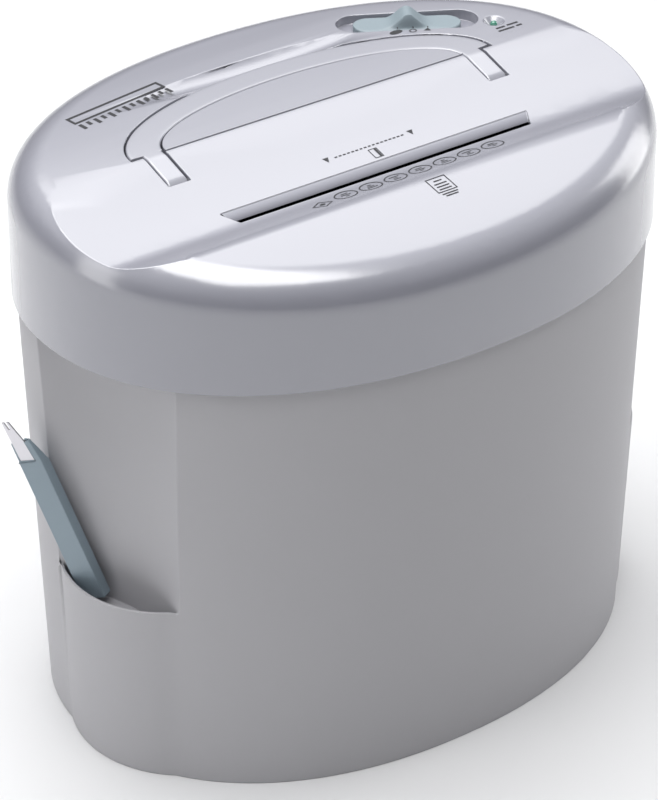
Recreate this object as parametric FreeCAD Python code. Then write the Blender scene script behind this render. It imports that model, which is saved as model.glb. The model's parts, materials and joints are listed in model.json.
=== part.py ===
import FreeCAD, Part
import math
import os

V = FreeCAD.Vector

# ---- Driving dimensions, in millimetres. Origin: middle of the bin's base. +X long, -Y front, +Z up.
BIN_A, BIN_B, BIN_N = 211.1, 154.9, 2.17          # half length, half width and roundness of the bin's foot
BIN_TOP_A, BIN_TOP_B, OVAL_N = 220.2, 160.2, 2.12  # the same at the bin's rim
BIN_TOP = 318.0
BIN_WALL = 2.5
SEAM_Z = 310.0                                    # lower edge of the head
HEAD_A, HEAD_B = 223.2, 163.0
CORD_X, CORD_Z = -70.0, 338.0                     # cord inlet in the back
HEAD_WALL = 2.4
SHOULDER_R = 26.0
CROWN_Z, CROWN_Y, CROWN_R = 401.0, 60.0, 1200.0   # the top is a shallow barrel along X
CREST_Y, VALLEY_Y, FRONT_Y = 19.5, -57.0, -84.0   # paper trough: back crease, lowest line, front crease
VALLEY_Z = 385.8
SLOT_Y0, SLOT_Y1, SLOT_HALF = -55.2, -49.8, 112.0  # paper throat
SLOT_LIP_Y, SLOT_LIP_HALF = -43.1, 118.0
SLOT_FRONT_Y = -56.6
BASE_Z, BASE_T = 318.4, 3.0

# storage pocket at each end of the bin, as on the left end; the right one is its mirror
SCOOP_X, SCOOP_Y, SCOOP_R = -313.8, -76.8, 130.7
SCOOP_TOP = 312.0
POCKET_FLOOR = 114.4
RIM_Z, RIM_Y, RIM_R = 132.2, -8.0, 700.0
BULGE_X, BULGE_Y, BULGE_R, BULGE_LEAN = -137.0, -18.3, 79.2, 0.025
POCKET_WALL = 2.2

# cutting block
CUT_Y, CUT_Z, CUT_PITCH = -51.0, 350.0, 33.0
DISC_R, SPACER_R, DISC_T, DISC_STEP = 18.0, 12.0, 3.4, 8.0
HEX_AF = 11.0
JOURNAL_R, BUSH_GAP = 5.0, 0.05
PLATE_X, PLATE_T = 118.0, 2.0
FRONT_AXIS = (CUT_Y - CUT_PITCH / 2, CUT_Z)
REAR_AXIS = (CUT_Y + CUT_PITCH / 2, CUT_Z)
BUSH_R, AXLE_R = 8.0, 3.0
LEVER_Y, LEVER_Z, LEVER_PIN_R = -35.0, 373.0, 1.2  # paper feed lever
BOARD_Z = 328.0
SYNC_TEETH, SYNC_MODULE = 22, 1.5
DRIVE_TEETH, SMALL_TEETH = 30, 12
MID_TEETH, FAST_TEETH = 40, 48
GEAR2_AXIS = (-3.12, 352.75)       # 31.5 from the rear cutter's axis
GEAR1_AXIS = (29.38, 352.75)       # 32.5 further back
MOTOR_AXIS = (59.27, 355.36)       # 30.0 further back

# carry handle
HANDLE_Y, HANDLE_A, HANDLE_B = 24.5, 139.0, 60.5
HANDLE_IN_A, HANDLE_IN_B = 115.5, 40.5
TAB_X0, TAB_X1 = 116.6, 130.6
PIVOT_Y, PIVOT_Z, TAB_HALF = -1.5, 391.0, 4.0
HANDLE_T, HANDLE_GAP = 8.0, 1.1
SCALLOP_X, SCALLOP_Y = -12.0, 88.0                # finger scallop behind the handle's arch
SCALLOP_LONG_R, SCALLOP_R, SCALLOP_DEPTH = 900.0, 20.0, 4.2
PIN_R, WELL_FLOOR = 1.5, 385.0

# mode slider and indicator lamp
SLIDER_X, SLIDER_Y, SLIDER_TURN = 114.0, 84.2, -29.0
SLIDER_TRAVEL = 10.5
LAMP_X, LAMP_Y = 162.0, 51.0

# staple remover: a point on its lower end, its long axis, and the way its flat side faces
TOOL_FOOT = V(-207.5, -21.3, 118.6)
TOOL_AXIS = V(-0.217, 0.309, 0.925)
TOOL_ACROSS = V(0.453, -0.808, 0.377)
TOOL_W, TOOL_T, TOOL_LEN, BLADE_T = 18.5, 8.4, 106.0, 1.2


# ---- Basic shapes
def oval(a, b, n, z, count=48):
    """Closed smooth curve |x/a|^n + |y/b|^n = 1 at height z."""
    points = []
    for i in range(count):
        t = 2 * math.pi * i / count
        c, s = math.cos(t), math.sin(t)
        x = a * math.copysign(abs(c) ** (2 / n), c)
        y = b * math.copysign(abs(s) ** (2 / n), s)
        points.append(V(x, y, z))
    curve = Part.BSplineCurve()
    curve.interpolate(Points=points, PeriodicFlag=True)
    return Part.Wire([curve.toShape()])


def box(x0, x1, y0, y1, z0, z1):
    return Part.makeBox(x1 - x0, y1 - y0, z1 - z0, V(x0, y0, z0))


def rod(x0, x1, y, z, r):
    return Part.makeCylinder(r, x1 - x0, V(x0, y, z), V(1, 0, 0))


def post(x, y, z0, z1, r):
    return Part.makeCylinder(r, z1 - z0, V(x, y, z0))


def ring(x0, x1, y, z, r_out, r_in):
    return rod(x0, x1, y, z, r_out).cut(rod(x0 - 1, x1 + 1, y, z, r_in))


def prism_x(points, x0, x1):
    """Polygon of (y, z) points drawn out along X."""
    corners = [V(x0, y, z) for y, z in points]
    face = Part.Face(Part.makePolygon(corners + corners[:1]))
    return face.extrude(V(x1 - x0, 0, 0))


def many_sided(x0, x1, y, z, r, sides, turn=0.0):
    """Regular prism along X; r reaches its corners."""
    points = []
    for i in range(sides):
        t = 2 * math.pi * i / sides + math.radians(turn)
        points.append((y + r * math.cos(t), z + r * math.sin(t)))
    return prism_x(points, x0, x1)


def fuse_all(shapes):
    return shapes[0].multiFuse(shapes[1:]) if len(shapes) > 1 else shapes[0]


def mirrored(shape):
    return shape.mirror(V(0, 0, 0), V(1, 0, 0))


def both_ends(shape):
    return [shape, mirrored(shape)]


# ---- Bin
def bin_oval(inset, z0, z1):
    wires = []
    for z in (z0, z1):
        k = z / BIN_TOP
        a = BIN_A + (BIN_TOP_A - BIN_A) * k - inset
        b = BIN_B + (BIN_TOP_B - BIN_B) * k - inset
        wires.append(oval(a, b, BIN_N + (OVAL_N - BIN_N) * k, z))
    return Part.makeLoft(wires, True, True)


def bulge(inset, z0, z1):
    """Upright round drum whose outer part is the pocket's wall; it leans out as the bin does."""
    wires = []
    for z in (z0, z1):
        centre = V(BULGE_X - BULGE_LEAN * z, BULGE_Y - BULGE_LEAN * 0.3 * z, z)
        circle = Part.Circle(centre, V(0, 0, 1), BULGE_R - inset)
        wires.append(Part.Wire([circle.toShape()]))
    return Part.makeLoft(wires, True, True)


def scoop(grow, z0, z1):
    return post(SCOOP_X, SCOOP_Y, z0, z1, SCOOP_R + grow)


def below_pocket_rim():
    """Everything under the pocket's slightly sagging rim: a block less a large drum along X."""
    block = box(-260, -120, -150, 60, -5, 160.0)
    return block.cut(rod(-300, 0, RIM_Y, RIM_Z + RIM_R, RIM_R))


def waste_bin():
    low = below_pocket_rim()
    wall = bulge(0, 0, 150).common(low)
    outer = bin_oval(0, 0, BIN_TOP).multiFuse(both_ends(wall))
    hollow = scoop(0, POCKET_FLOOR, SCOOP_TOP)
    room = bin_oval(POCKET_WALL, 1, 150).fuse(bulge(POCKET_WALL, 1, 150))
    open_part = hollow.cut(low)
    pocket_part = hollow.common(room).common(box(-260, -120, -150, 60, POCKET_FLOOR, 150))
    for cutter in (open_part, pocket_part):
        outer = outer.cut(both_ends(cutter))
    inner = bin_oval(BIN_WALL, BIN_WALL, BIN_TOP + 1)
    inner = inner.cut(both_ends(scoop(BIN_WALL, POCKET_FLOOR - BIN_WALL, SCOOP_TOP + BIN_WALL)))
    drum_room = bulge(BIN_WALL, BIN_WALL, POCKET_FLOOR - BIN_WALL)
    drum_room = drum_room.cut(box(-150, 0, -150, 100, 0, 200))
    return outer.cut([inner] + both_ends(drum_room))


# ---- Head cover
def head_block(inset):
    """Oval block with a rounded shoulder under a shallow barrel top."""
    wires = []
    for z, flare in ((SEAM_Z - 5 * (inset > 0), 0.0), (352.0, -0.8), (430.0, -1.4)):
        wires.append(oval(HEAD_A - inset + flare, HEAD_B - inset + flare, OVAL_N, z))
    block = Part.makeLoft(wires, True, True)
    axis_z = CROWN_Z - inset - CROWN_R
    block = block.common(rod(-300, 300, CROWN_Y, axis_z, CROWN_R))
    edges = [e for e in block.Edges if e.BoundBox.ZMin > 370.0]
    return block.makeFillet(SHOULDER_R - inset, edges)


def crown(y):
    return CROWN_Z - (y - CROWN_Y) ** 2 / (2 * CROWN_R)


def trough_z(y):
    """Height of the paper trough: two power curves that meet at its lowest line."""
    if y >= VALLEY_Y:
        span, rise, power = CREST_Y - VALLEY_Y, crown(CREST_Y) - VALLEY_Z, 1.35
    else:
        span, rise, power = FRONT_Y - VALLEY_Y, crown(FRONT_Y) - VALLEY_Z, 1.6
    return VALLEY_Z + rise * abs((y - VALLEY_Y) / span) ** power


def trough_cutter(drop):
    """What the trough takes away, drawn along X."""
    steps = 12
    points = []
    for i in range(steps + 1):
        y = FRONT_Y + (CREST_Y - FRONT_Y) * i / steps
        points.append(V(-260, y, trough_z(y) - drop))
    curve = Part.BSplineCurve()
    curve.interpolate(Points=points)
    tip_a = V(-260, FRONT_Y - 6, points[0].z + 3.0)
    tip_b = V(-260, CREST_Y + 4, points[-1].z + 1.6)
    lid = [points[-1], tip_b, V(-260, CREST_Y + 4, 440), V(-260, FRONT_Y - 6, 440), tip_a, points[0]]
    face = Part.Face(Part.Wire([curve.toShape()] + Part.makePolygon(lid).Edges))
    return face.extrude(V(520, 0, 0))


def top_layer(drop0, drop1):
    """The layer between two depths under the head's top surface, over its flat middle."""
    def under(drop):
        block = box(-200, 200, -100, 120, 340, 430)
        block = block.common(rod(-300, 300, CROWN_Y, CROWN_Z - drop - CROWN_R, CROWN_R))
        return block.cut(trough_cutter(drop))
    return under(drop0).cut(under(drop1))


def half_ellipse(a, b, grow, z0, z1):
    """Back half of an upright elliptic drum, with a short straight run in front."""
    a, b = a + grow, b + grow
    points = [V(a * math.cos(math.pi * i / 24), HANDLE_Y + b * math.sin(math.pi * i / 24), z0)
              for i in range(25)]
    curve = Part.BSplineCurve()
    curve.interpolate(Points=points)
    front = HANDLE_Y - max(grow, 0.0)
    run = [points[-1], V(-a, front, z0), V(a, front, z0), points[0]]
    if front == HANDLE_Y:
        run = [points[-1], points[0]]
    face = Part.Face(Part.Wire([curve.toShape()] + Part.makePolygon(run).Edges))
    return face.extrude(V(0, 0, z1 - z0))


def handle_plan(grow, z0=360, z1=420):
    """Plan of the crescent with its two tabs, drawn up."""
    arch = half_ellipse(HANDLE_A, HANDLE_B, grow, z0, z1)
    arch = arch.cut(half_ellipse(HANDLE_IN_A, HANDLE_IN_B, -grow, z0 - 1, z1 + 1))
    front = PIVOT_Y - TAB_HALF - grow
    tab = box(TAB_X0 - grow, TAB_X1 + grow, front, HANDLE_Y + 4, z0, z1)
    return arch.multiFuse(both_ends(tab))


def carry_handle():
    body = handle_plan(0).common(top_layer(0.3, 0.3 + HANDLE_T))
    square = box(-145, 145, PIVOT_Y - TAB_HALF - 1, PIVOT_Y, 370, 410)
    nose = rod(-145, 145, PIVOT_Y, PIVOT_Z, TAB_HALF)
    body = body.cut(square.cut(nose))
    shave = box(-145, 145, PIVOT_Y - 1, PIVOT_Y + 9, PIVOT_Z - TAB_HALF - 6, PIVOT_Z - TAB_HALF)
    slope = [(HANDLE_Y - 1, 402), (HANDLE_Y + 0.1, 400.6), (HANDLE_Y + 2.2, 390), (HANDLE_Y - 1, 390)]
    outer_ear = prism_x(slope, TAB_X1, HANDLE_A + 1)
    inner_ear = prism_x(slope, 108, TAB_X0)
    body = body.cut([shave] + both_ends(outer_ear) + both_ends(inner_ear))
    return body.cut(rod(-145, 145, PIVOT_Y, PIVOT_Z, PIN_R + BUSH_GAP))


def handle_pins():
    pin = rod(TAB_X0 - 3.2, TAB_X1 + 3.2, PIVOT_Y, PIVOT_Z, PIN_R)
    return Part.makeCompound(both_ends(pin))


def turned(shape):
    """Put a shape drawn about the origin along X where the mode slider lies."""
    shape = shape.copy()
    shape.rotate(V(0, 0, 0), V(0, 0, 1), SLIDER_TURN)
    shape.translate(V(SLIDER_X, SLIDER_Y, 0))
    return shape


def oblong(length, width, z0, z1):
    r = width / 2
    run = length / 2 - r
    block = box(-run, run, -r, r, z0, z1)
    return block.multiFuse([post(-run, 0, z0, z1, r), post(run, 0, z0, z1, r)])


def head_cover():
    outer = head_block(0)
    inner = head_block(HEAD_WALL).cut(trough_cutter(HEAD_WALL + 0.2))
    tub = handle_plan(HANDLE_GAP + 2.2, WELL_FLOOR - 2.4).common(top_layer(0, 15.0))
    tab_tub = both_ends(box(TAB_X0 - 3.2, TAB_X1 + 3.2, -9.5, 22, WELL_FLOOR - 2.4, 396))
    dish = turned(oblong(101, 32, 391.0, 399))
    neck = prism_x([(-58.5, 376.3), (-46.0, 376.3), (-43.0, 384), (-60.0, 384)], -115.5, 115.5)
    funnel = prism_x([(-59.5, 382.8), (-43.4, 382.8), (-40.0, 392), (-62.0, 392)], -122, 122)
    bosses = [post(x, y, BASE_Z + BASE_T, 405, 5.0) for x, y in cover_screw_places()]
    lamp_boss = post(LAMP_X, LAMP_Y, 392.0, 400, 9.5)
    finger_back = box(-100, 80, 70, 106, 392.5, 400)
    solid = [tub, dish, neck, funnel, lamp_boss, finger_back] + bosses + tab_tub
    cover = outer.cut(inner).multiFuse([s.common(outer) for s in solid])
    cover = cover.cut(trough_cutter(0))
    well = handle_plan(HANDLE_GAP, WELL_FLOOR).common(top_layer(-3, 12.8))
    tab_well = both_ends(box(TAB_X0 - HANDLE_GAP, TAB_X1 + HANDLE_GAP, PIVOT_Y - TAB_HALF - HANDLE_GAP,
                             HANDLE_Y, WELL_FLOOR, 410))
    finger = finger_scallop()
    pins = both_ends(rod(TAB_X0 - 3.2, TAB_X1 + 3.2, PIVOT_Y, PIVOT_Z, PIN_R))
    dish_well = turned(oblong(96, 27, 393.4, 410))
    stem_slot = turned(oblong(30, 5.4, 380, 395))
    lamp_cone = Part.makeCone(3.0, 7.6, 4.6, V(LAMP_X, LAMP_Y, 396.6))
    lamp_hole = post(LAMP_X, LAMP_Y, 380, 400, 2.6)
    throat = box(-SLOT_HALF, SLOT_HALF, SLOT_Y0, SLOT_Y1, 370, 400)
    cord_hole = Part.makeCylinder(6.0, 40, V(CORD_X, 130, CORD_Z), V(0, 1, 0))
    screw_holes = [post(x, y, BASE_Z, 342, 1.6) for x, y in cover_screw_places()]
    cover = cover.cut(slot_funnel())
    cutters = [well, finger, dish_well, stem_slot, lamp_cone, lamp_hole, throat, cord_hole]
    return cover.cut(cutters + tab_well + pins + screw_holes)


def finger_scallop():
    """Part of a large thin ring that dips into the top, so that its hollow runs out at both ends."""
    low = crown(SCALLOP_Y) - SCALLOP_DEPTH
    centre = V(SCALLOP_X, SCALLOP_Y, low + SCALLOP_LONG_R)
    wheel = Part.makeTorus(SCALLOP_LONG_R - SCALLOP_R, SCALLOP_R, centre, V(0, 1, 0))
    return wheel.common(box(-150, 150, 60, 120, 380, low + SCALLOP_R))


def slot_funnel():
    """Mouth of the paper slot: a rounded back lip and a short front slope that lead into the throat."""
    lip_z = trough_z(SLOT_LIP_Y)
    low_z = 380.5
    points = [V(-130, SLOT_LIP_Y, 392), V(-130, SLOT_LIP_Y, lip_z)]
    for i in range(1, 7):
        t = math.radians(22 + 66 * i / 6)
        run = (math.sin(t) - math.sin(math.radians(22))) / (math.sin(math.radians(88)) - math.sin(math.radians(22)))
        fall = (math.cos(math.radians(22)) - math.cos(t)) / (math.cos(math.radians(22)) - math.cos(math.radians(88)))
        points.append(V(-130, SLOT_LIP_Y + (SLOT_Y1 - SLOT_LIP_Y) * run, lip_z + (low_z - lip_z) * fall))
    points += [V(-130, SLOT_Y0, low_z), V(-130, SLOT_FRONT_Y, 386.5), V(-130, SLOT_FRONT_Y, 392), points[0]]
    mouth = Part.Face(Part.makePolygon(points)).extrude(V(260, 0, 0))
    slant = (SLOT_LIP_HALF - SLOT_HALF) / (SLOT_LIP_Y - SLOT_Y0)
    half_front = SLOT_HALF - slant * (SLOT_Y0 - SLOT_FRONT_Y)
    plan = [V(-SLOT_LIP_HALF, SLOT_LIP_Y, 378), V(SLOT_LIP_HALF, SLOT_LIP_Y, 378),
            V(half_front, SLOT_FRONT_Y, 378), V(-half_front, SLOT_FRONT_Y, 378)]
    return mouth.common(Part.Face(Part.makePolygon(plan + plan[:1])).extrude(V(0, 0, 20)))


def cover_screw_places():
    return [(170, 70), (-170, 70), (170, -80), (-170, -80), (0, 140), (0, -140)]


# ---- Head base and small housings
def head_base():
    plate = Part.Face(oval(217.5, 157.5, OVAL_N, BASE_Z)).extrude(V(0, 0, BASE_T))
    skirt_out = Part.Face(oval(216.2, 156.2, OVAL_N, 306)).extrude(V(0, 0, BASE_Z - 306))
    skirt_in = Part.Face(oval(213.8, 153.8, OVAL_N, 305)).extrude(V(0, 0, 20))
    skirt = skirt_out.cut(skirt_in).common(box(-150, 150, -200, 200, 300, 320))
    base = plate.fuse(skirt)
    outlet = box(-112, 112, -92, -10, 300, 330)
    vents = [box(20 + 12 * i, 26 + 12 * i, 60, 120, 310, 330) for i in range(6)]
    holes = [post(x, y, 310, 330, 2.2) for x, y in cover_screw_places()]
    holes += [post(x, y, 310, 330, 1.6) for x, y in frame_screw_places()]
    return base.cut([outlet] + vents + holes)


def cover_screws():
    screws = []
    for x, y in cover_screw_places():
        head = post(x, y, BASE_Z - 2.6, BASE_Z, 3.6)
        screws.append(head.fuse(post(x, y, BASE_Z, 340, 1.6)))
    return Part.makeCompound(screws)


def paper_guide():
    outer = box(-SLOT_HALF - 1.6, SLOT_HALF + 1.6, SLOT_Y0 - 1.6, SLOT_Y1 + 1.6, 364.5, 376)
    hole = box(-SLOT_HALF, SLOT_HALF, SLOT_Y0, SLOT_Y1, 360, 380)
    window = box(-3.2, 3.2, SLOT_Y1 - 1, SLOT_Y1 + 3, 360, 377)
    ears = [box(x, x + 2, SLOT_Y1 + 1.6, -30, 370, 376) for x in (-7.5, 5.5)]
    holes = rod(-9, 9, LEVER_Y, LEVER_Z, LEVER_PIN_R)
    return outer.cut([hole, window]).multiFuse(ears).cut(holes)


def feed_lever():
    hub = rod(-3.0, 3.0, LEVER_Y, LEVER_Z, 2.8)
    arm = prism_x([(LEVER_Y + 1, LEVER_Z + 2.4), (-54.4, 374.2), (-54.4, 372.2), (LEVER_Y, LEVER_Z - 2.4)],
                  -2.2, 2.2)
    tail = prism_x([(LEVER_Y - 1, LEVER_Z + 2.2), (LEVER_Y - 1, LEVER_Z - 2.2), (-27.0, 371.6), (-27.0, 373.6)],
                   -2.2, 2.2)
    return hub.multiFuse([arm, tail]).cut(rod(-9, 9, LEVER_Y, LEVER_Z, LEVER_PIN_R + BUSH_GAP))


def lever_pin():
    return rod(-7.5, 7.5, LEVER_Y, LEVER_Z, LEVER_PIN_R)


def feed_switch():
    return box(-6, 6, -26.5, -20.5, 374.5, 384.5)


def cord_grommet():
    at = V(CORD_X, 0, CORD_Z)
    y_out = HEAD_B * (1 - (abs(CORD_X) / HEAD_A) ** OVAL_N) ** (1 / OVAL_N)
    body = Part.makeCylinder(5.95, 12, at + V(0, y_out - 8, 0), V(0, 1, 0))
    flange = Part.makeCylinder(9.0, 2.0, at + V(0, y_out - 7.6, 0), V(0, 1, 0))
    hole = Part.makeCylinder(3.6, 30, at + V(0, y_out - 12, 0), V(0, 1, 0))
    return body.fuse(flange).cut(hole)


def led_lens():
    stem = post(LAMP_X, LAMP_Y, 389.0, 398.2, 2.55)
    dome = Part.makeSphere(2.55, V(LAMP_X, LAMP_Y, 398.2))
    return stem.fuse(dome)


def led_board():
    return box(LAMP_X - 9, LAMP_X + 9, LAMP_Y - 7, LAMP_Y + 7, 387.0, 388.6)


def mode_switch():
    return turned(box(-18, 18, -7, 7, 368.0, 381.5))


def mode_slider():
    slab = turned(oblong(73, 21.5, 394.0, 399.2))
    hump = turned(slider_hump())
    stem = turned(box(-3, 3, -2, 2, 382.2, 395))
    return slab.multiFuse([hump, stem])


def slider_hump():
    """Thumb fin with a hollow curve down to each side."""
    points = [V(-30, -8, 399.0)]
    for i in range(13):
        u = -30 + 60 * i / 12
        points.append(V(u, -8, 399.2 + 9.6 * math.exp(-((u / 9.5) ** 2))))
    curve = Part.BSplineCurve()
    curve.interpolate(Points=points[1:])
    foot = [points[-1], V(30, -8, 398.0), V(-30, -8, 398.0), points[1]]
    face = Part.Face(Part.Wire([curve.toShape()] + Part.makePolygon(foot).Edges))
    return face.extrude(V(0, 16, 0))


# ---- Frame of the cutting block
def side_plate(x0, back):
    step = [(-102, 323.4), (back, 323.4), (back, 376), (min(back, 20), 381), (-20, 380), (-44, 376), (-102, 374)]
    plate = prism_x(step, x0, x0 + PLATE_T)
    inward = 1 if x0 < 0 else -1
    foot_x = (x0, x0 + 12) if inward > 0 else (x0 + PLATE_T - 12, x0 + PLATE_T)
    feet = [box(foot_x[0], foot_x[1], y0, y0 + 16, BASE_Z + BASE_T, 323.4) for y0 in (-110, 2)]
    plate = plate.multiFuse(feet)
    holes = [rod(x0 - 1, x0 + 4, y, z, BUSH_R) for y, z in (FRONT_AXIS, REAR_AXIS)]
    holes += [rod(x0 - 1, x0 + 4, y, z, 2.0) for y, z in tie_rod_places()]
    holes += [post(x, y, 310, 330, 1.6) for x, y in frame_screw_places()]
    return plate.cut(holes)


def tie_rod_places():
    return [(-96, 330), (-96, 367), (-3, 332), (8, 373)]


def frame_screw_places():
    x = PLATE_X - 6
    return [(-x, -106), (-x, 14), (x, -106), (x, 14)]


def side_frame_left():
    plate = side_plate(-PLATE_X - PLATE_T, 90)
    y, z = MOTOR_AXIS
    cuts = [rod(-122, -116, y, z, 9.1)]
    cuts += [rod(-122, -116, gy, gz, AXLE_R) for gy, gz in (GEAR1_AXIS, GEAR2_AXIS)]
    cuts += [rod(-122, -116, y + dy, z, 1.5) for dy in (-18, 18)]
    return plate.cut(cuts)


def side_frame_right():
    return side_plate(PLATE_X, 20)


def tie_rods():
    rods = []
    for y, z in tie_rod_places():
        rods.append(rod(-PLATE_X, PLATE_X, y, z, 4.0))
    return Part.makeCompound(rods)


def tie_rod_screws():
    screws = []
    for y, z in tie_rod_places():
        for side in (-1, 1):
            face = side * (PLATE_X + PLATE_T)
            head = many_sided(min(face, face + 2.6 * side), max(face, face + 2.6 * side), y, z, 3.8, 6)
            shank = rod(min(face, face - 2 * side), max(face, face - 2 * side), y, z, 2.0)
            screws.append(head.fuse(shank))
    return Part.makeCompound(screws)


def frame_screws():
    screws = []
    for x, y in frame_screw_places():
        screws.append(post(x, y, 323.4, 325.8, 3.2).fuse(post(x, y, 314, 323.4, 1.6)))
    return Part.makeCompound(screws)


def shaft_bushes():
    rings = []
    for side in (-1, 1):
        x = side * (PLATE_X + PLATE_T / 2)
        for y, z in (FRONT_AXIS, REAR_AXIS):
            rings.append(ring(x - 1.0, x + 1.0, y, z, BUSH_R, JOURNAL_R + BUSH_GAP))
    return Part.makeCompound(rings)


def stripper_comb(side):
    """Comb whose fingers clear the shreds out from between the discs; side is +1 at the back."""
    centre = CUT_Y + side * CUT_PITCH / 2
    near, root, back = centre + side * 12.6, centre + side * 25.0, centre + side * 29.0
    bar = box(-PLATE_X, PLATE_X, min(root, back), max(root, back), 340, 361)
    start = DISC_STEP / 2 if side < 0 else 0.0
    fingers = []
    for k in range(-14, 14):
        x = k * DISC_STEP + start
        if side > 0 and k == -14:
            continue
        fingers.append(box(x - 1.5, x + 1.5, min(near, root), max(near, root), 342, 358))
    return fuse_all([bar] + fingers)


# ---- Cutters and gears
def cutter_places(side):
    if side < 0:
        return [DISC_STEP * k for k in range(-13, 14)]
    return [DISC_STEP * k + DISC_STEP / 2 for k in range(-14, 14)]


def hex_bar(x0, x1, axis, across):
    y, z = axis
    return many_sided(x0, x1, y, z, across / math.sqrt(3), 6)


def cutter_shaft(axis, left_end):
    y, z = axis
    bar = hex_bar(-PLATE_X + 1.0, PLATE_X - 1.0, axis, HEX_AF)
    ends = rod(left_end, -PLATE_X + 1.0, y, z, JOURNAL_R)
    right = rod(PLATE_X - 1.0, 131.0, y, z, JOURNAL_R)
    return bar.multiFuse([ends, right])


def toothed_disc(x, axis, turn):
    """Hooked cutter disc: a many-sided plate with three bites, on a six-sided hole."""
    y, z = axis
    disc = many_sided(x - DISC_T / 2, x + DISC_T / 2, y, z, DISC_R, 24, turn)
    bites = []
    for i in range(3):
        t = math.radians(turn + 120 * i)
        u = (math.cos(t), math.sin(t))
        v = (-u[1], u[0])
        corners = [(15.2, 0.0), (20.0, 0.0), (20.0, 5.5), (17.0, 4.6)]
        points = [(y + r * u[0] + s * v[0], z + r * u[1] + s * v[1]) for r, s in corners]
        bites.append(prism_x(points, x - 3, x + 3))
    return disc.cut(bites + [hex_bar(x - 3, x + 3, axis, HEX_AF)])


def cutter_discs(side):
    axis = FRONT_AXIS if side < 0 else REAR_AXIS
    discs = [toothed_disc(x, axis, 15.0 * i) for i, x in enumerate(cutter_places(side))]
    return Part.makeCompound(discs)


def spacer_rings(side):
    axis = FRONT_AXIS if side < 0 else REAR_AXIS
    y, z = axis
    places = cutter_places(side)
    rings = []
    for a, b in zip(places[:-1], places[1:]):
        tube = many_sided(a + DISC_T / 2, b - DISC_T / 2, y, z, SPACER_R, 16)
        rings.append(tube.cut(hex_bar(a, b, axis, HEX_AF)))
    return Part.makeCompound(rings)


def gear(axis, x0, x1, teeth, module, bore, turn=0.0, backlash=0.22):
    """Spur gear with straight-sided teeth close to an involute; turn is where a tooth's middle points."""
    y, z = axis
    pitch_r = teeth * module / 2
    quarter = math.pi / (2 * teeth) - backlash / (2 * pitch_r)
    tan20 = math.tan(math.radians(20.0))
    points = []
    for i in range(teeth):
        mid = 2 * math.pi * i / teeth + math.radians(turn)
        flank = []
        for dr in (-1.15 * module, -0.4 * module, 0.35 * module, 0.9 * module):
            r = pitch_r + dr
            flank.append((r, max(quarter - tan20 * dr / pitch_r, 0.25 * quarter)))
        for r, w in flank:
            points.append((y + r * math.cos(mid - w), z + r * math.sin(mid - w)))
        for r, w in reversed(flank):
            points.append((y + r * math.cos(mid + w), z + r * math.sin(mid + w)))
    body = prism_x(points, x0, x1)
    return body.cut(rod(x0 - 1, x1 + 1, y, z, bore)) if bore else body


def mesh_turn(axis_a, axis_b, teeth_b, tooth_a_turn, teeth_a):
    """Turn for gear b so that a gap of b faces the tooth phase of gear a on the line of centres."""
    line = math.degrees(math.atan2(axis_b[1] - axis_a[1], axis_b[0] - axis_a[0]))
    phase_a = ((line - tooth_a_turn) * teeth_a / 360.0) % 1.0
    return line + 180.0 + (phase_a + 0.5) * 360.0 / teeth_b


def sync_gear(side):
    axis = FRONT_AXIS if side < 0 else REAR_AXIS
    turn = 0.0 if side < 0 else mesh_turn(FRONT_AXIS, REAR_AXIS, SYNC_TEETH, 0.0, SYNC_TEETH)
    return gear(axis, 122.0, 130.0, SYNC_TEETH, SYNC_MODULE, JOURNAL_R, turn)


def drive_gear():
    return gear(REAR_AXIS, -132.6, -122.6, DRIVE_TEETH, 1.5, JOURNAL_R, 0.0)


def reduction_gear_2():
    small_turn = mesh_turn(REAR_AXIS, GEAR2_AXIS, SMALL_TEETH, 0.0, DRIVE_TEETH)
    small = gear(GEAR2_AXIS, -133.4, -122.6, SMALL_TEETH, 1.5, None, small_turn, 0.45)
    big = gear(GEAR2_AXIS, -141.0, -133.4, MID_TEETH, 1.25, None, 0.0)
    y, z = GEAR2_AXIS
    return small.fuse(big).cut(rod(-160, -100, y, z, AXLE_R + BUSH_GAP))


def reduction_gear_1():
    small_turn = mesh_turn(GEAR2_AXIS, GEAR1_AXIS, SMALL_TEETH, 0.0, MID_TEETH)
    small = gear(GEAR1_AXIS, -142.4, -133.6, SMALL_TEETH, 1.25, None, small_turn)
    big = gear(GEAR1_AXIS, -149.0, -142.4, FAST_TEETH, 1.0, None, 0.0)
    y, z = GEAR1_AXIS
    return small.fuse(big).cut(rod(-160, -100, y, z, AXLE_R + BUSH_GAP))


def motor_pinion():
    turn = mesh_turn(GEAR1_AXIS, MOTOR_AXIS, SMALL_TEETH, 0.0, FAST_TEETH)
    return gear(MOTOR_AXIS, -149.0, -142.8, SMALL_TEETH, 1.0, 2.5, turn, 0.16)


def motor_shaft():
    y, z = MOTOR_AXIS
    return rod(-150.0, -34.0, y, z, 2.5)


def gear_axles():
    axles = [rod(-152.4, -PLATE_X, y, z, AXLE_R) for y, z in (GEAR1_AXIS, GEAR2_AXIS)]
    return Part.makeCompound(axles)


def gear_case():
    outline = [(-62, 323.6), (-62, 372), (-50, 377), (-30, 382), (50, 382), (70, 372), (70, 323.6)]
    inside = [(-59.8, 325.6), (-59.8, 371), (-49, 375.4), (-29, 380), (49.5, 380), (68, 371), (68, 325.6)]
    tray = prism_x(outline, -152.4, -PLATE_X - PLATE_T).cut(prism_x(inside, -150.4, -110))
    holes = [rod(-160, -149, y, z, AXLE_R) for y, z in (GEAR1_AXIS, GEAR2_AXIS)]
    rod_room = [rod(-125, -119, y, z, 4.6) for y, z in tie_rod_places()]
    return tray.cut(holes + rod_room)


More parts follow.
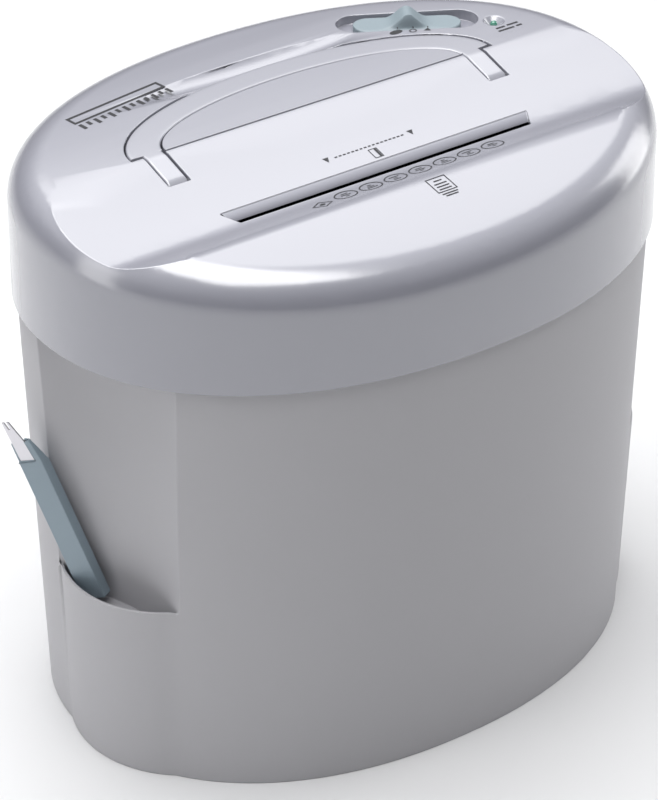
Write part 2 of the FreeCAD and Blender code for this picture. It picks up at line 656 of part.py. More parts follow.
# ---- Motor and electrics
def motor_can():
    y, z = MOTOR_AXIS
    can = rod(-PLATE_X, -40.0, y, z, 27.0)
    nose = rod(-PLATE_X - 1.8, -PLATE_X, y, z, 9.0)
    room = rod(-PLATE_X + 2, -40.0 + 1, y, z, 24.6)
    hole = rod(-125, -110, y, z, 2.6)
    taps = [rod(-120, -112, y + dy, z, 1.5) for dy in (-18, 18)]
    return can.fuse(nose).cut([room, hole] + taps)


def motor_end_cap():
    y, z = MOTOR_AXIS
    cap = rod(-40.0, -30.0, y, z, 27.0)
    return cap.cut(rod(-41, -33, y, z, 2.6))


def motor_armature():
    y, z = MOTOR_AXIS
    core = many_sided(-106, -52, y, z, 22.0, 12).cut(rod(-107, -50, y, z, 2.5))
    return core


def motor_screws():
    y, z = MOTOR_AXIS
    screws = []
    for dy in (-18, 18):
        head = rod(-PLATE_X - PLATE_T - 2.0, -PLATE_X - PLATE_T, y + dy, z, 2.8)
        screws.append(head.fuse(rod(-PLATE_X - PLATE_T, -112, y + dy, z, 1.5)))
    return Part.makeCompound(screws)


def thermal_cutout():
    y, z = MOTOR_AXIS
    return box(-90, -72, y + 27.0, y + 31.4, z - 8, z + 8)


def control_board():
    board = box(20, 120, 34, 104, BOARD_Z, BOARD_Z + 1.6)
    return board.cut([post(x, y, 320, 335, 1.6) for x, y in board_screw_places()])


def board_screw_places():
    return [(25, 39), (115, 39), (25, 99), (115, 99)]


def board_standoffs():
    feet = [post(x, y, BASE_Z + BASE_T, BOARD_Z, 3.4).cut(post(x, y, 320, 330, 1.6))
            for x, y in board_screw_places()]
    return Part.makeCompound(feet)


def board_screws():
    screws = []
    for x, y in board_screw_places():
        head = post(x, y, BOARD_Z + 1.6, BOARD_Z + 3.6, 2.8)
        screws.append(head.fuse(post(x, y, BASE_Z + BASE_T + 0.6, BOARD_Z + 1.6, 1.6)))
    return Part.makeCompound(screws)


def relay():
    return box(36, 56, 48, 64, BOARD_Z + 1.6, BOARD_Z + 17)


def capacitor():
    return box(62, 88, 48, 58, BOARD_Z + 1.6, BOARD_Z + 18)


def fuse_holder():
    return box(94, 102, 46, 76, BOARD_Z + 1.6, BOARD_Z + 10)


def terminal_block():
    return box(36, 84, 84, 94, BOARD_Z + 1.6, BOARD_Z + 13)


# ---- Staple remover
def tool_frame():
    d = V(TOOL_AXIS).normalize()
    w = V(TOOL_ACROSS)
    w = (w - d * w.dot(d)).normalize()
    t = w.cross(d) * -1.0
    return w, t, d


def tool_prism(points, w0, w1):
    """Side outline of (depth, height) points drawn across the tool's width."""
    w, t, d = tool_frame()
    corners = [TOOL_FOOT + t * p[0] + d * p[1] + w * w0 for p in points]
    face = Part.Face(Part.makePolygon(corners + corners[:1]))
    return face.extrude(w * (w1 - w0))


def staple_remover_grip():
    half = TOOL_W / 2
    outline = [(0, 0), (0, TOOL_LEN), (-2.8, TOOL_LEN + 17.0), (-1.0, TOOL_LEN + 18.0),
               (TOOL_T, TOOL_LEN - 4), (TOOL_T, 0)]
    body = tool_prism(outline, -half, half)
    slot = tool_prism(blade_side(), -half + 2.0, half - 2.0)
    side_clear = tool_prism([(-8, TOOL_LEN), (-8, TOOL_LEN + 30), (0.4, TOOL_LEN + 30), (0.4, TOOL_LEN)],
                            -half - 1, half - 4.5)
    return body.cut([slot, side_clear])


def blade_side():
    """Bent strip: seated in the grip, then leaning out to its tip."""
    return [(0.6, TOOL_LEN - 18.0), (0.6, TOOL_LEN), (-6.0, TOOL_LEN + 33.0), (-6.0 + BLADE_T, TOOL_LEN + 33.2),
            (0.6 + BLADE_T, TOOL_LEN), (0.6 + BLADE_T, TOOL_LEN - 18.0)]


def staple_remover_blade():
    half = TOOL_W / 2 - 2.0
    strip = tool_prism(blade_side(), -half, half)
    w, t, d = tool_frame()
    cuts = []
    for side in (-1, 1):
        p = [(half, TOOL_LEN + 1.0), (2.4, TOOL_LEN + 34.5), (half + 9, TOOL_LEN + 34.5), (half + 9, TOOL_LEN + 1)]
        corners = [TOOL_FOOT + w * (a * side) + d * b - t * 15 for a, b in p]
        face = Part.Face(Part.makePolygon(corners + corners[:1]))
        cuts.append(face.extrude(t * 30))
    notch = [(-0.7, TOOL_LEN + 27.0), (-1.0, TOOL_LEN + 36), (1.0, TOOL_LEN + 36), (0.7, TOOL_LEN + 27.0)]
    corners = [TOOL_FOOT + w * a + d * b - t * 15 for a, b in notch]
    cuts.append(Part.Face(Part.makePolygon(corners + corners[:1])).extrude(t * 30))
    return strip.cut(cuts)


# ---- All nodes
NODES = {
    "waste_bin": waste_bin,
    "head_cover": head_cover,
    "head_base": head_base,
    "cover_screws": cover_screws,
    "carry_handle": carry_handle,
    "handle_pins": handle_pins,
    "mode_slider": mode_slider,
    "mode_switch": mode_switch,
    "led_lens": led_lens,
    "led_board": led_board,
    "cord_grommet": cord_grommet,
    "paper_guide": paper_guide,
    "feed_lever": feed_lever,
    "lever_pin": lever_pin,
    "feed_switch": feed_switch,
    "side_frame_left": side_frame_left,
    "side_frame_right": side_frame_right,
    "frame_screws": frame_screws,
    "tie_rods": tie_rods,
    "tie_rod_screws": tie_rod_screws,
    "shaft_bushes": shaft_bushes,
    "stripper_comb_front": lambda: stripper_comb(-1),
    "stripper_comb_rear": lambda: stripper_comb(1),
    "cutter_shaft_front": lambda: cutter_shaft(FRONT_AXIS, -PLATE_X - 3.0),
    "cutter_shaft_rear": lambda: cutter_shaft(REAR_AXIS, -133.0),
    "cutter_discs_front": lambda: cutter_discs(-1),
    "cutter_discs_rear": lambda: cutter_discs(1),
    "spacer_rings_front": lambda: spacer_rings(-1),
    "spacer_rings_rear": lambda: spacer_rings(1),
    "sync_gear_front": lambda: sync_gear(-1),
    "sync_gear_rear": lambda: sync_gear(1),
    "drive_gear": drive_gear,
    "reduction_gear_1": reduction_gear_1,
    "reduction_gear_2": reduction_gear_2,
    "gear_axles": gear_axles,
    "gear_case": gear_case,
    "motor_can": motor_can,
    "motor_end_cap": motor_end_cap,
    "motor_armature": motor_armature,
    "motor_shaft": motor_shaft,
    "motor_pinion": motor_pinion,
    "motor_screws": motor_screws,
    "thermal_cutout": thermal_cutout,
    "control_board": control_board,
    "board_standoffs": board_standoffs,
    "board_screws": board_screws,
    "relay": relay,
    "capacitor": capacitor,
    "fuse_holder": fuse_holder,
    "terminal_block": terminal_block,
    "staple_remover_grip": staple_remover_grip,
    "staple_remover_blade": staple_remover_blade,
}

os.makedirs("parts", exist_ok=True)
for name, make in NODES.items():
    shape = make()
    solids = len(shape.Solids)
    bounds = shape.BoundBox
    print(name, "solids", solids, "valid", shape.isValid(), "volume %.0f" % shape.Volume,
          "x %.1f..%.1f y %.1f..%.1f z %.1f..%.1f" % (bounds.XMin, bounds.XMax, bounds.YMin, bounds.YMax,
                                                      bounds.ZMin, bounds.ZMax))
    shape.exportStep("parts/%s.step" % name)
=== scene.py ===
import json
import math

import bmesh
import bpy
import numpy as np
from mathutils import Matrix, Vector


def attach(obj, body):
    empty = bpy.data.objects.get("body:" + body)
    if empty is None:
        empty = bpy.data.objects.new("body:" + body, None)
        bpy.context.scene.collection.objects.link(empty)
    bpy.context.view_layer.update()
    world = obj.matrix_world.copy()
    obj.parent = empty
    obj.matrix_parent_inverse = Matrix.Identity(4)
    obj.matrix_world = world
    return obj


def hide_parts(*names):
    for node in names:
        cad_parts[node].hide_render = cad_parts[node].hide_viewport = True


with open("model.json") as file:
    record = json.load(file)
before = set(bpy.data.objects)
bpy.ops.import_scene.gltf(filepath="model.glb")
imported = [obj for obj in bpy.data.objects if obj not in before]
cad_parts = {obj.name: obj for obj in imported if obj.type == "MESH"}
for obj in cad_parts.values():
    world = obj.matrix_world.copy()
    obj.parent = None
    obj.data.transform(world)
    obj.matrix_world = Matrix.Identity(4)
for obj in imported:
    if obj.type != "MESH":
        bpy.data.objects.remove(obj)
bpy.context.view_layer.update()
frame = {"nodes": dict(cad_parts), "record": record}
bpy.context.scene.view_settings.view_transform = "Standard"

# ---- Camera
# A long lens looks down on the shredder's front left, from a little over two metres away.
AIM = Vector((-0.00741, 0.0, 0.1868))
CAMERA_AT = Vector((-1.0203, -1.4721, 1.3619))
LENS = 143.2
camera = bpy.data.objects.new("camera", bpy.data.cameras.new("camera"))
bpy.context.scene.collection.objects.link(camera)
camera.data.lens = LENS
camera.data.sensor_width = 36.0
camera.location = CAMERA_AT
camera.rotation_euler = (AIM - CAMERA_AT).to_track_quat("-Z", "Y").to_euler()
bpy.context.scene.camera = camera


# ---- Floor
# A wide sheet of white card that the shredder stands on.
def new_paint(name, colour, rough):
    """One even paint; returns the material and its shader."""
    paint = bpy.data.materials.new(name)
    paint.use_nodes = True
    shader = paint.node_tree.nodes["Principled BSDF"]
    shader.inputs["Base Color"].default_value = (*colour, 1)
    shader.inputs["Roughness"].default_value = rough
    return paint, shader


def new_object(name, mesh):
    """Put a mesh in the scene, at the origin."""
    piece = bpy.data.objects.new(name, mesh)
    bpy.context.scene.collection.objects.link(piece)
    return piece


FLOOR_HALF = 6.0
card = bpy.data.meshes.new("floor")
corner = np.array([(-1, -1, 0), (1, -1, 0), (1, 1, 0), (-1, 1, 0)]) * FLOOR_HALF
card.from_pydata(corner.tolist(), [], [(0, 1, 2, 3)])
card.materials.append(new_paint("white card", (0.80, 0.80, 0.805), 0.95)[0])
floor = new_object("floor", card)


# ---- Lights
# A broad softbox overhead, a strip at each end of the shredder, and a dim room that is darkest in front.
def softbox(name, place, aim, size, power):
    """A rectangular lamp that faces a point."""
    lamp = bpy.data.lights.new(name, "AREA")
    lamp.shape = "RECTANGLE"
    lamp.size, lamp.size_y = size
    lamp.energy = power
    holder = bpy.data.objects.new(name, lamp)
    holder.location = place
    holder.rotation_euler = (Vector(aim) - Vector(place)).to_track_quat("-Z", "Y").to_euler()
    bpy.context.scene.collection.objects.link(holder)


softbox("overhead", (-0.15, 0.0, 1.9), (0, 0, 0.3), (1.8, 1.1), 32)
softbox("high back", (0.7, 1.3, 2.1), (0, 0, 0.35), (2.2, 1.1), 12)
softbox("left end", (-2.4, 0.3, 0.8), (0, 0, 0.25), (0.9, 1.8), 11)
softbox("right end", (2.4, -0.2, 0.8), (0, 0, 0.25), (0.9, 1.8), 16)
room = bpy.data.worlds.new("room")
room.use_nodes = True
sky, wires = room.node_tree.nodes, room.node_tree.links
direction = sky.new("ShaderNodeTexCoord")
height = sky.new("ShaderNodeSeparateXYZ")
ceiling = sky.new("ShaderNodeValToRGB")
ROOM_TONES = ((0.0, 0.05), (0.3, 0.12), (0.55, 0.8), (1.0, 1.0))
for spot, (up, level) in enumerate(ROOM_TONES):
    mark = ceiling.color_ramp.elements[spot] if spot < 2 else ceiling.color_ramp.elements.new(up)
    mark.position = up
    mark.color = (level * 0.97, level * 0.98, level, 1)
wires.new(direction.outputs["Generated"], height.inputs["Vector"])
wires.new(height.outputs["Z"], ceiling.inputs["Fac"])
wires.new(ceiling.outputs["Color"], sky["Background"].inputs["Color"])
depth = sky.new("ShaderNodeMapRange")
depth.inputs["From Min"].default_value = -0.9
depth.inputs["From Max"].default_value = 0.5
depth.inputs["To Min"].default_value = 0.15
wires.new(height.outputs["Y"], depth.inputs["Value"])
wires.new(depth.outputs["Result"], sky["Background"].inputs["Strength"])
bpy.context.scene.world = room


# ---- Inner works and small hardware
# Cutters, frame, gears, motor, board and screws keep their CAD shapes and get the finish of their slot:
# oiled and zinc-plated steel, bronze, natural nylon, green board lacquer, black plastic and rubber.
COAT_ROUGH, COAT_IOR = 0.2, 1.9
CLOUD_SCALE, CLOUD_DETAIL, TINT_SWING, GLOSS_SWING = 14.0, 3.0, 0.015, 0.05
GRAIN_DETAIL, GRAIN_DEPTH = 2.0, 0.0002


def finish(name, colour, rough, metallic=0.0, coat=0.0, grain=0.0, grain_size=900.0, stretch=(1, 1, 1)):
    """Soft clouds in the colour and the gloss, with a fine grain in relief, on Object coordinates."""
    paint, shader = new_paint(name, colour, rough)
    nodes, links = paint.node_tree.nodes, paint.node_tree.links
    shader.inputs["Metallic"].default_value = metallic
    shader.inputs["Coat Weight"].default_value = coat
    shader.inputs["Coat Roughness"].default_value = COAT_ROUGH
    shader.inputs["Coat IOR"].default_value = COAT_IOR
    place = nodes.new("ShaderNodeTexCoord")
    aim = nodes.new("ShaderNodeMapping")
    aim.inputs["Scale"].default_value = stretch
    links.new(place.outputs["Object"], aim.inputs["Vector"])
    cloud = nodes.new("ShaderNodeTexNoise")
    cloud.inputs["Scale"].default_value = CLOUD_SCALE
    cloud.inputs["Detail"].default_value = CLOUD_DETAIL
    links.new(aim.outputs["Vector"], cloud.inputs["Vector"])
    tint = nodes.new("ShaderNodeMix")
    tint.data_type = "RGBA"
    tint.inputs["A"].default_value = (*[c * (1 - TINT_SWING) for c in colour], 1)
    tint.inputs["B"].default_value = (*[min(1, c * (1 + TINT_SWING)) for c in colour], 1)
    links.new(cloud.outputs["Fac"], tint.inputs["Factor"])
    links.new(tint.outputs["Result"], shader.inputs["Base Color"])
    gloss = nodes.new("ShaderNodeMapRange")
    gloss.inputs["To Min"].default_value = rough * (1 - GLOSS_SWING)
    gloss.inputs["To Max"].default_value = rough * (1 + GLOSS_SWING)
    links.new(cloud.outputs["Fac"], gloss.inputs["Value"])
    links.new(gloss.outputs["Result"], shader.inputs["Roughness"])
    if grain:
        fine = nodes.new("ShaderNodeTexNoise")
        fine.inputs["Scale"].default_value = grain_size
        fine.inputs["Detail"].default_value = GRAIN_DETAIL
        links.new(aim.outputs["Vector"], fine.inputs["Vector"])
        relief = nodes.new("ShaderNodeBump")
        relief.inputs["Strength"].default_value = grain
        relief.inputs["Distance"].default_value = GRAIN_DEPTH
        links.new(fine.outputs["Fac"], relief.inputs["Height"])
        links.new(relief.outputs["Normal"], shader.inputs["Normal"])
    return paint


FINISHES = {
    "bin_plastic": finish("bin plastic", (0.45, 0.445, 0.465), 0.5, grain=0.2),
    "head_plastic": finish("pearl plastic", (0.29, 0.292, 0.335), 0.26, coat=1.0),
    "handle_plastic": finish("handle plastic", (0.32, 0.322, 0.365), 0.26, coat=1.0),
    "black_plastic": finish("black plastic", (0.02, 0.02, 0.022), 0.5, grain=0.2),
    "slider_plastic": finish("slider plastic", (0.23, 0.28, 0.31), 0.4, grain=0.15),
    "grip_plastic": finish("grip plastic", (0.27, 0.34, 0.39), 0.42, grain=0.15),
    "blade_steel": finish("blade steel", (0.66, 0.65, 0.68), 0.3, 1.0, grain=0.3, stretch=(1, 1, 0.05)),
    "cutter_steel": finish("cutter steel", (0.45, 0.45, 0.46), 0.35, 1.0, grain=0.3, stretch=(0.05, 1, 1)),
    "frame_steel": finish("zinc plate", (0.55, 0.56, 0.58), 0.4, 1.0, grain=0.2),
    "bronze": finish("bush bronze", (0.5, 0.32, 0.14), 0.4, 1.0),
    "gear_nylon": finish("gear nylon", (0.78, 0.76, 0.70), 0.5),
    "circuit_board": finish("board lacquer", (0.03, 0.16, 0.07), 0.35, coat=0.3),
    "lamp_lens": finish("lamp lens", (0.03, 0.20, 0.13), 0.12, coat=0.6),
    "rubber": finish("soft rubber", (0.015, 0.015, 0.015), 0.7),
}
for part in frame["record"]["subparts"]:
    node = frame["nodes"][part["node"]]
    node.data.materials.clear()
    node.data.materials.append(FINISHES[part["material_slot"]])


# ---- Bin
# One injection moulding in satin grey polypropylene: a tapered oval tub with a storage pocket in each end.
# Its visible corners are eased by about a millimetre.
def eased(node, name, body, width, crease, segments=2):
    """The node's surface with its triangles joined, and a small round on each edge sharper than crease
    degrees."""
    mesh = frame["nodes"][node].data.copy()
    if "custom_normal" in mesh.attributes:
        mesh.attributes.remove(mesh.attributes["custom_normal"])
    work = bmesh.new()
    work.from_mesh(mesh)
    bmesh.ops.remove_doubles(work, verts=work.verts, dist=2e-6)
    bmesh.ops.dissolve_limit(work, angle_limit=math.radians(0.4), verts=work.verts, edges=work.edges)
    work.to_mesh(mesh)
    work.free()
    mesh.shade_smooth()
    mesh.set_sharp_from_angle(angle=math.radians(crease))
    piece = new_object(name, mesh)
    if width:
        ease = piece.modifiers.new("ease", "BEVEL")
        ease.width = width
        ease.segments = segments
        ease.limit_method = "ANGLE"
        ease.angle_limit = math.radians(crease)
        ease.use_clamp_overlap = False
        ease.harden_normals = True
        ease.miter_outer = "MITER_ARC"
    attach(piece, body)
    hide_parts(node)
    return piece


eased("waste_bin", "bin", "bin", 0.0008, 40)

# ---- Head cover
# One glossy pearl-silver moulding that drops over the bin's rim, with the paper trough across its top,
# wells for the carry handle and the mode slider, and a finger scallop behind the handle.
eased("head_cover", "cover", "head", 0.0006, 30)

# ---- Carry handle
# A crescent with a short tab at each end, moulded in the same pearl plastic. It swings up on two steel pins
# and lies flush in its well, its top following the cover, with rounded edges all round.
MM = 0.001
CROWN_Z, CROWN_Y, CROWN_R = 401.0, 60.0, 1200.0
CREST_Y, VALLEY_Y, FRONT_Y, VALLEY_Z = 19.5, -57.0, -84.0, 385.8
BACK_POWER, FRONT_POWER = 1.35, 1.6


def top_height(y):
    """Height of the cover's top at y, in mm: a barrel along X, less two power curves that meet in the
    trough."""
    crown = CROWN_Z - (y - CROWN_Y) ** 2 / (2 * CROWN_R)
    back = np.clip((y - VALLEY_Y) / (CREST_Y - VALLEY_Y), 0, None)
    front = np.clip((VALLEY_Y - y) / (VALLEY_Y - FRONT_Y), 0, None)
    crest_rise = CROWN_Z - (CREST_Y - CROWN_Y) ** 2 / (2 * CROWN_R) - VALLEY_Z
    front_rise = CROWN_Z - (FRONT_Y - CROWN_Y) ** 2 / (2 * CROWN_R) - VALLEY_Z
    trough = VALLEY_Z + crest_rise * back ** BACK_POWER + front_rise * front ** FRONT_POWER
    return np.where((y > FRONT_Y) & (y < CREST_Y), np.minimum(trough, crown), crown)


def skin(name, points, closed_rows, body, slot, replaced=None, ends=False, smooth=50):
    """Mesh of a grid of points in mm, rows by columns; a closed row joins its last point to its first,
    and ends fills the first and last rows."""
    rows, columns, _ = points.shape
    i, j = np.meshgrid(np.arange(rows - 1), np.arange(columns - (not closed_rows)), indexing="ij")
    k = (j + 1) % columns
    quads = np.stack([i * columns + j, i * columns + k, (i + 1) * columns + k, (i + 1) * columns + j], -1)
    faces = quads.reshape(-1, 4).tolist()
    if ends:
        faces += [list(range(columns))[::-1], list(range((rows - 1) * columns, rows * columns))]
    mesh = bpy.data.meshes.new(name)
    mesh.from_pydata((points.reshape(-1, 3) * MM).tolist(), [], faces)
    work = bmesh.new()
    work.from_mesh(mesh)
    bmesh.ops.remove_doubles(work, verts=work.verts, dist=1e-6)
    bmesh.ops.recalc_face_normals(work, faces=work.faces)
    work.to_mesh(mesh)
    work.free()
    mesh.shade_smooth()
    mesh.set_sharp_from_angle(angle=math.radians(smooth))
    mesh.materials.append(FINISHES[slot])
    piece = new_object(name, mesh)
    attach(piece, body)
    if replaced:
        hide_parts(replaced)
    return piece


ARCH_Y, OUTER_A, OUTER_B, INNER_A, INNER_B = 24.5, 139.0, 60.5, 115.5, 40.5
TAB_IN, TAB_OUT, TAB_FRONT, EAR_Y = 116.6, 130.6, -5.5, 25.7
HANDLE_DEEP, HANDLE_SINK, EDGE_R = 8.0, 0.3, 1.4
ARCH_START = 0.03
PIVOT_Y, PIVOT_Z = -1.5, 391.0


def handle_edges():
    """Inner and outer outlines, point for point: up the left tab, half round the two ellipses, down the right
    tab. The ears beside each tab stand back, to clear the cover while the handle turns."""
    run = np.linspace(0, 1, 14)[:-1]
    tab_y = TAB_FRONT + (EAR_Y - TAB_FRONT) * run
    angle = np.linspace(ARCH_START, math.pi - ARCH_START, 121)
    ear = np.array([0.0, 0.35, 0.7, 0.9])
    ear_out = np.stack([-(TAB_OUT + (OUTER_A - TAB_OUT) * ear), EAR_Y + 0.6 * ear], -1)
    ear_in = np.stack([-(TAB_IN - (TAB_IN - INNER_A) * ear), np.full(4, EAR_Y)], -1)
    inner = np.concatenate([np.stack([np.full(13, -TAB_IN), tab_y], -1), ear_in])
    outer = np.concatenate([np.stack([np.full(13, -TAB_OUT), tab_y], -1), ear_out])
    flip = np.array([-1, 1])
    arch_in = np.stack([-INNER_A * np.cos(angle), ARCH_Y + INNER_B * np.sin(angle)], -1)
    arch_out = np.stack([-OUTER_A * np.cos(angle), ARCH_Y + OUTER_B * np.sin(angle)], -1)
    return (np.concatenate([inner, arch_in, inner[::-1] * flip]),
            np.concatenate([outer, arch_out, outer[::-1] * flip]))


def handle_skin():
    """Each row is a cross-section from inner to outer edge: a flat underside, two walls, and a top that drops
    by a quarter round within EDGE_R of either wall."""
    inner, outer = handle_edges()
    width = np.linalg.norm(outer - inner, axis=1)[:, None]
    turn = np.radians(np.linspace(0, 90, 7))
    near = EDGE_R * (1 - np.cos(turn))
    drop_near = EDGE_R * (1 - np.sin(turn))
    middle = np.linspace(0, 1, 9)[1:-1]
    across = np.concatenate([np.zeros((len(inner), 1)), np.tile(near, (len(inner), 1)),
                             near[-1] + (width - 2 * near[-1]) * middle, width - near[::-1], width], 1)
    drop = np.concatenate([[HANDLE_DEEP], drop_near, np.zeros(len(middle)), drop_near[::-1], [HANDLE_DEEP]])
    plan = inner[:, None] + (outer - inner)[:, None] * (across / width)[:, :, None]
    z = top_height(plan[..., 1]) - HANDLE_SINK - drop
    nose = np.clip((PIVOT_Y - plan[..., 1]) / (PIVOT_Y - TAB_FRONT), 0, 1)
    bow = np.sqrt(np.clip(1 - nose ** 2, 0, 1))
    z = np.where(nose > 0, PIVOT_Z + (z - PIVOT_Z) * bow, z)
    return np.concatenate([plan, z[..., None]], 2)


skin("carry_handle", handle_skin(), True, "carry_handle", "handle_plastic", "carry_handle", ends=True)

# ---- Mode slider
# A blue-grey oblong slide with a thumb fin across its middle, moulded in one piece. Only what
# shows above its recess is drawn here.
SLIDER_X, SLIDER_Y, SLIDER_TURN = 114.0, 84.2, math.radians(-29.0)
SLIDE_LONG, SLIDE_WIDE, SLIDE_BASE, SLIDE_TOP = 73.0, 21.5, 394.0, 399.2
FIN_RISE, FIN_SPREAD, FIN_WIDE = 9.4, 9.0, 15.0


def slider_skin():
    """Rows run along the slide, columns across it: half width follows the oblong's round ends, edges drop by
    a quarter round, and the fin is a bell curve along the slide that fades before either side."""
    end_r = SLIDE_WIDE / 2
    along = np.sin(np.linspace(-math.pi / 2, math.pi / 2, 97)) * (SLIDE_LONG / 2 - 0.02)
    past = np.clip(np.abs(along) - (SLIDE_LONG / 2 - end_r), 0, end_r)
    half = np.sqrt(end_r ** 2 - past ** 2)[:, None]
    u = np.concatenate([[-1.0], np.sin(np.linspace(-math.pi / 2, math.pi / 2, 33)), [1.0]])[None]
    v = half * u
    edge = np.clip((half - np.abs(v)) / 2.0, 0, 1)
    top = SLIDE_TOP - 1.6 * (1 - np.sqrt(1 - (1 - edge) ** 2))
    fade = np.clip((FIN_WIDE / 2 + 2.0 - np.abs(v)) / 2.5, 0, 1)
    fade = fade * fade * (3 - 2 * fade)
    fin = FIN_RISE * np.exp(-(along[:, None] / FIN_SPREAD) ** 2) * fade
    z = top + fin
    z[:, 0] = SLIDE_BASE
    z[:, -1] = SLIDE_BASE
    c, s = math.cos(SLIDER_TURN), math.sin(SLIDER_TURN)
    x = SLIDER_X + along[:, None] * c - v * s
    y = SLIDER_Y + along[:, None] * s + v * c
    return np.stack([x, y, z], -1)


skin("mode_slider", slider_skin(), True, "mode_slider", "slider_plastic", "mode_slider", ends=True)

# ---- Staple remover
# A loose tool: a blue-grey moulded grip with a forked, stamped steel blade, standing in the left pocket.
eased("staple_remover_grip", "grip", "staple_remover", 0.0009, 25, 3)
eased("staple_remover_blade", "blade", "staple_remover", 0.0002, 25, 1)

# ---- Printed marks
# Plain black pad prints: seven ringed tallies and a lozenge in front of the slot, a card between two arrows
# behind it, a page by the front edge, a sheet over its strips at the back, and marks by slider and lamp.
INK_LIFT = 0.15
RING_LINE, BAR_LINE, BAR_STEP = 0.9, 0.9, 2.2
ARROW_HALF, ARROW_TIP, DASH_STEP, DASH_HALF, DASH_LINE = 2.2, 2.6, 3.2, 1.0, 1.1
CARD_HALF_X, CARD_HALF_Y = 3, 4.4
ink_corners, ink_faces = [], []


def ink_fill(outline):
    """A filled convex patch from plan points in mm."""
    first = len(ink_corners)
    ink_corners.extend(outline)
    ink_faces.append(list(range(first, first + len(outline))))


def ink_line(points, width, closed=False):
    """A ribbon of one width along plan points: each point is moved half a width to either side of its run."""
    path = np.array(points, float)
    ahead = np.roll(path, -1, 0) - path
    behind = path - np.roll(path, 1, 0)
    if not closed:
        ahead[-1], behind[0] = behind[-1], ahead[0]
    ahead /= np.linalg.norm(ahead, axis=1)[:, None]
    behind /= np.linalg.norm(behind, axis=1)[:, None]
    mean = ahead + behind
    mean /= (np.linalg.norm(mean, axis=1) ** 2 / 2)[:, None]
    side = np.stack([-mean[:, 1], mean[:, 0]], -1) * width / 2
    left, right = (path + side).tolist(), (path - side).tolist()
    first, count = len(ink_corners), len(path)
    ink_corners.extend(left + right)
    for i in range(count if closed else count - 1):
        j = (i + 1) % count
        ink_faces.append([first + i, first + count + i, first + count + j, first + j])


def oval_points(x, y, a, b, count=36):
    t = np.linspace(0, 2 * math.pi, count, endpoint=False)
    return np.stack([x + a * np.cos(t), y + b * np.sin(t)], -1)


ROW_Y, ROW_X, ROW_STEP, RING_A, RING_B = -66.8, 16.0, 18.9, 7.8, 5.7
for k in range(-3, 4):
    x = ROW_X + ROW_STEP * k
    ink_line(oval_points(x, ROW_Y, RING_A, RING_B), RING_LINE, closed=True)
    for bar in range(-1, 2):
        reach = 3.6 - 1.1 * ((k + bar) % 3)
        ink_line([(x - reach, ROW_Y + BAR_STEP * bar), (x + reach, ROW_Y + BAR_STEP * bar)], BAR_LINE)
LOZENGE_X, LOZENGE_Y = -60.0, -69.5
ink_line([(LOZENGE_X - 7, LOZENGE_Y), (LOZENGE_X, LOZENGE_Y + 4.6), (LOZENGE_X + 7, LOZENGE_Y),
          (LOZENGE_X, LOZENGE_Y - 4.6)], 0.8, closed=True)
ink_fill(oval_points(LOZENGE_X, LOZENGE_Y, 2.0, 1.5, 16).tolist())
ARROW_Y, ARROW_X, ARROW_MID = -27.9, 32.5, 4.3
for side in (-1, 1):
    x = ARROW_MID + side * ARROW_X
    ink_fill([(x - ARROW_HALF, ARROW_Y + ARROW_HALF), (x, ARROW_Y - ARROW_TIP),
              (x + ARROW_HALF, ARROW_Y + ARROW_HALF)][::-1])
for k in range(-8, 9):
    x = ARROW_MID + DASH_STEP * k
    ink_line([(x - DASH_HALF, ARROW_Y), (x + DASH_HALF, ARROW_Y)], DASH_LINE)
CARD_X, CARD_Y = 4.1, -35.6
ink_line([(CARD_X - CARD_HALF_X, CARD_Y - CARD_HALF_Y), (CARD_X + CARD_HALF_X, CARD_Y - CARD_HALF_Y),
          (CARD_X + CARD_HALF_X, CARD_Y + CARD_HALF_Y), (CARD_X - CARD_HALF_X, CARD_Y + CARD_HALF_Y)],
         0.6, closed=True)
ink_fill([(CARD_X + 0.7, CARD_Y - 4.0), (CARD_X + 2.4, CARD_Y - 4.0), (CARD_X + 2.4, CARD_Y + 4.0),
          (CARD_X + 0.7, CARD_Y + 4.0)])
PAGE_X, PAGE_Y = 11.8, -95.3
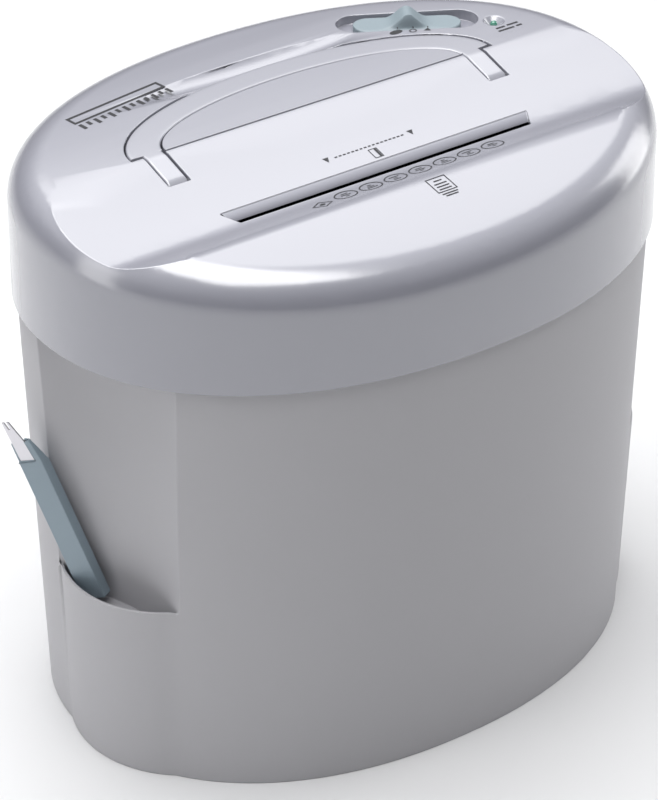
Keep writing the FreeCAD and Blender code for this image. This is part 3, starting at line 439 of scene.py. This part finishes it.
ink_line([(PAGE_X - 7, PAGE_Y - 6.6), (PAGE_X + 7, PAGE_Y - 6.6), (PAGE_X + 7, PAGE_Y + 7.8),
          (PAGE_X - 7, PAGE_Y + 7.8)], 0.7, closed=True)
for bar, reach in ((4.6, 3.0), (1.4, 4.6), (-1.4, 4.6), (-4.2, 4.6), (-9.0, 5.8), (-11.2, 4.6)):
    ink_line([(PAGE_X - reach, PAGE_Y + bar), (PAGE_X + reach, PAGE_Y + bar)], 1.0)
BADGE_X, BADGE_Y, BADGE_TURN = -107.0, 89.5, math.radians(9.0)


def badge_point(x, y):
    """A point of the badge, turned and set in place."""
    c, s = math.cos(BADGE_TURN), math.sin(BADGE_TURN)
    return BADGE_X + x * c - y * s, BADGE_Y + x * s + y * c


ink_line([badge_point(x, y) for x, y in ((-37, 1.5), (37, 1.5), (37, 9.5), (-37, 9.5))], 2.0, closed=True)
for k in range(13):
    x = -36 + 6 * k
    ink_fill([badge_point(x - 1.3, -8.5 + 2.2 * (k % 2)), badge_point(x + 1.3, -8.5 + 2.2 * (k % 2)),
              badge_point(x + 1.3, -1.5), badge_point(x - 1.3, -1.5)])
ink_fill(oval_points(97.8, 74.0, 5.0, 2.6, 20).tolist())
ink_line(oval_points(108.4, 69.4, 2.3, 2.0, 20), 0.8, closed=True)
ink_fill([(114.6, 65.6), (119.0, 67.4), (118.6, 62.8)][::-1])
for x, y in ((102.3, 78.6), (111.3, 73.4), (119.8, 68.4)):
    ink_line([(x - 0.6, y - 1.0), (x + 0.6, y + 1.0)], 0.7)
for x0, x1, y in ((156, 163, 40.4), (165, 174, 40.6), (155, 168, 36.4), (170, 174.5, 36.6)):
    ink_line([(x0, y), (x1, y)], 1.7)
plan = np.array(ink_corners)
ink = bpy.data.meshes.new("printed_marks")
ink.from_pydata((np.column_stack([plan, top_height(plan[:, 1]) + INK_LIFT]) * MM).tolist(), [], ink_faces)
ink.materials.append(new_paint("pad print black", (0.02, 0.02, 0.024), 0.55)[0])
marks = new_object("printed_marks", ink)
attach(marks, "head")
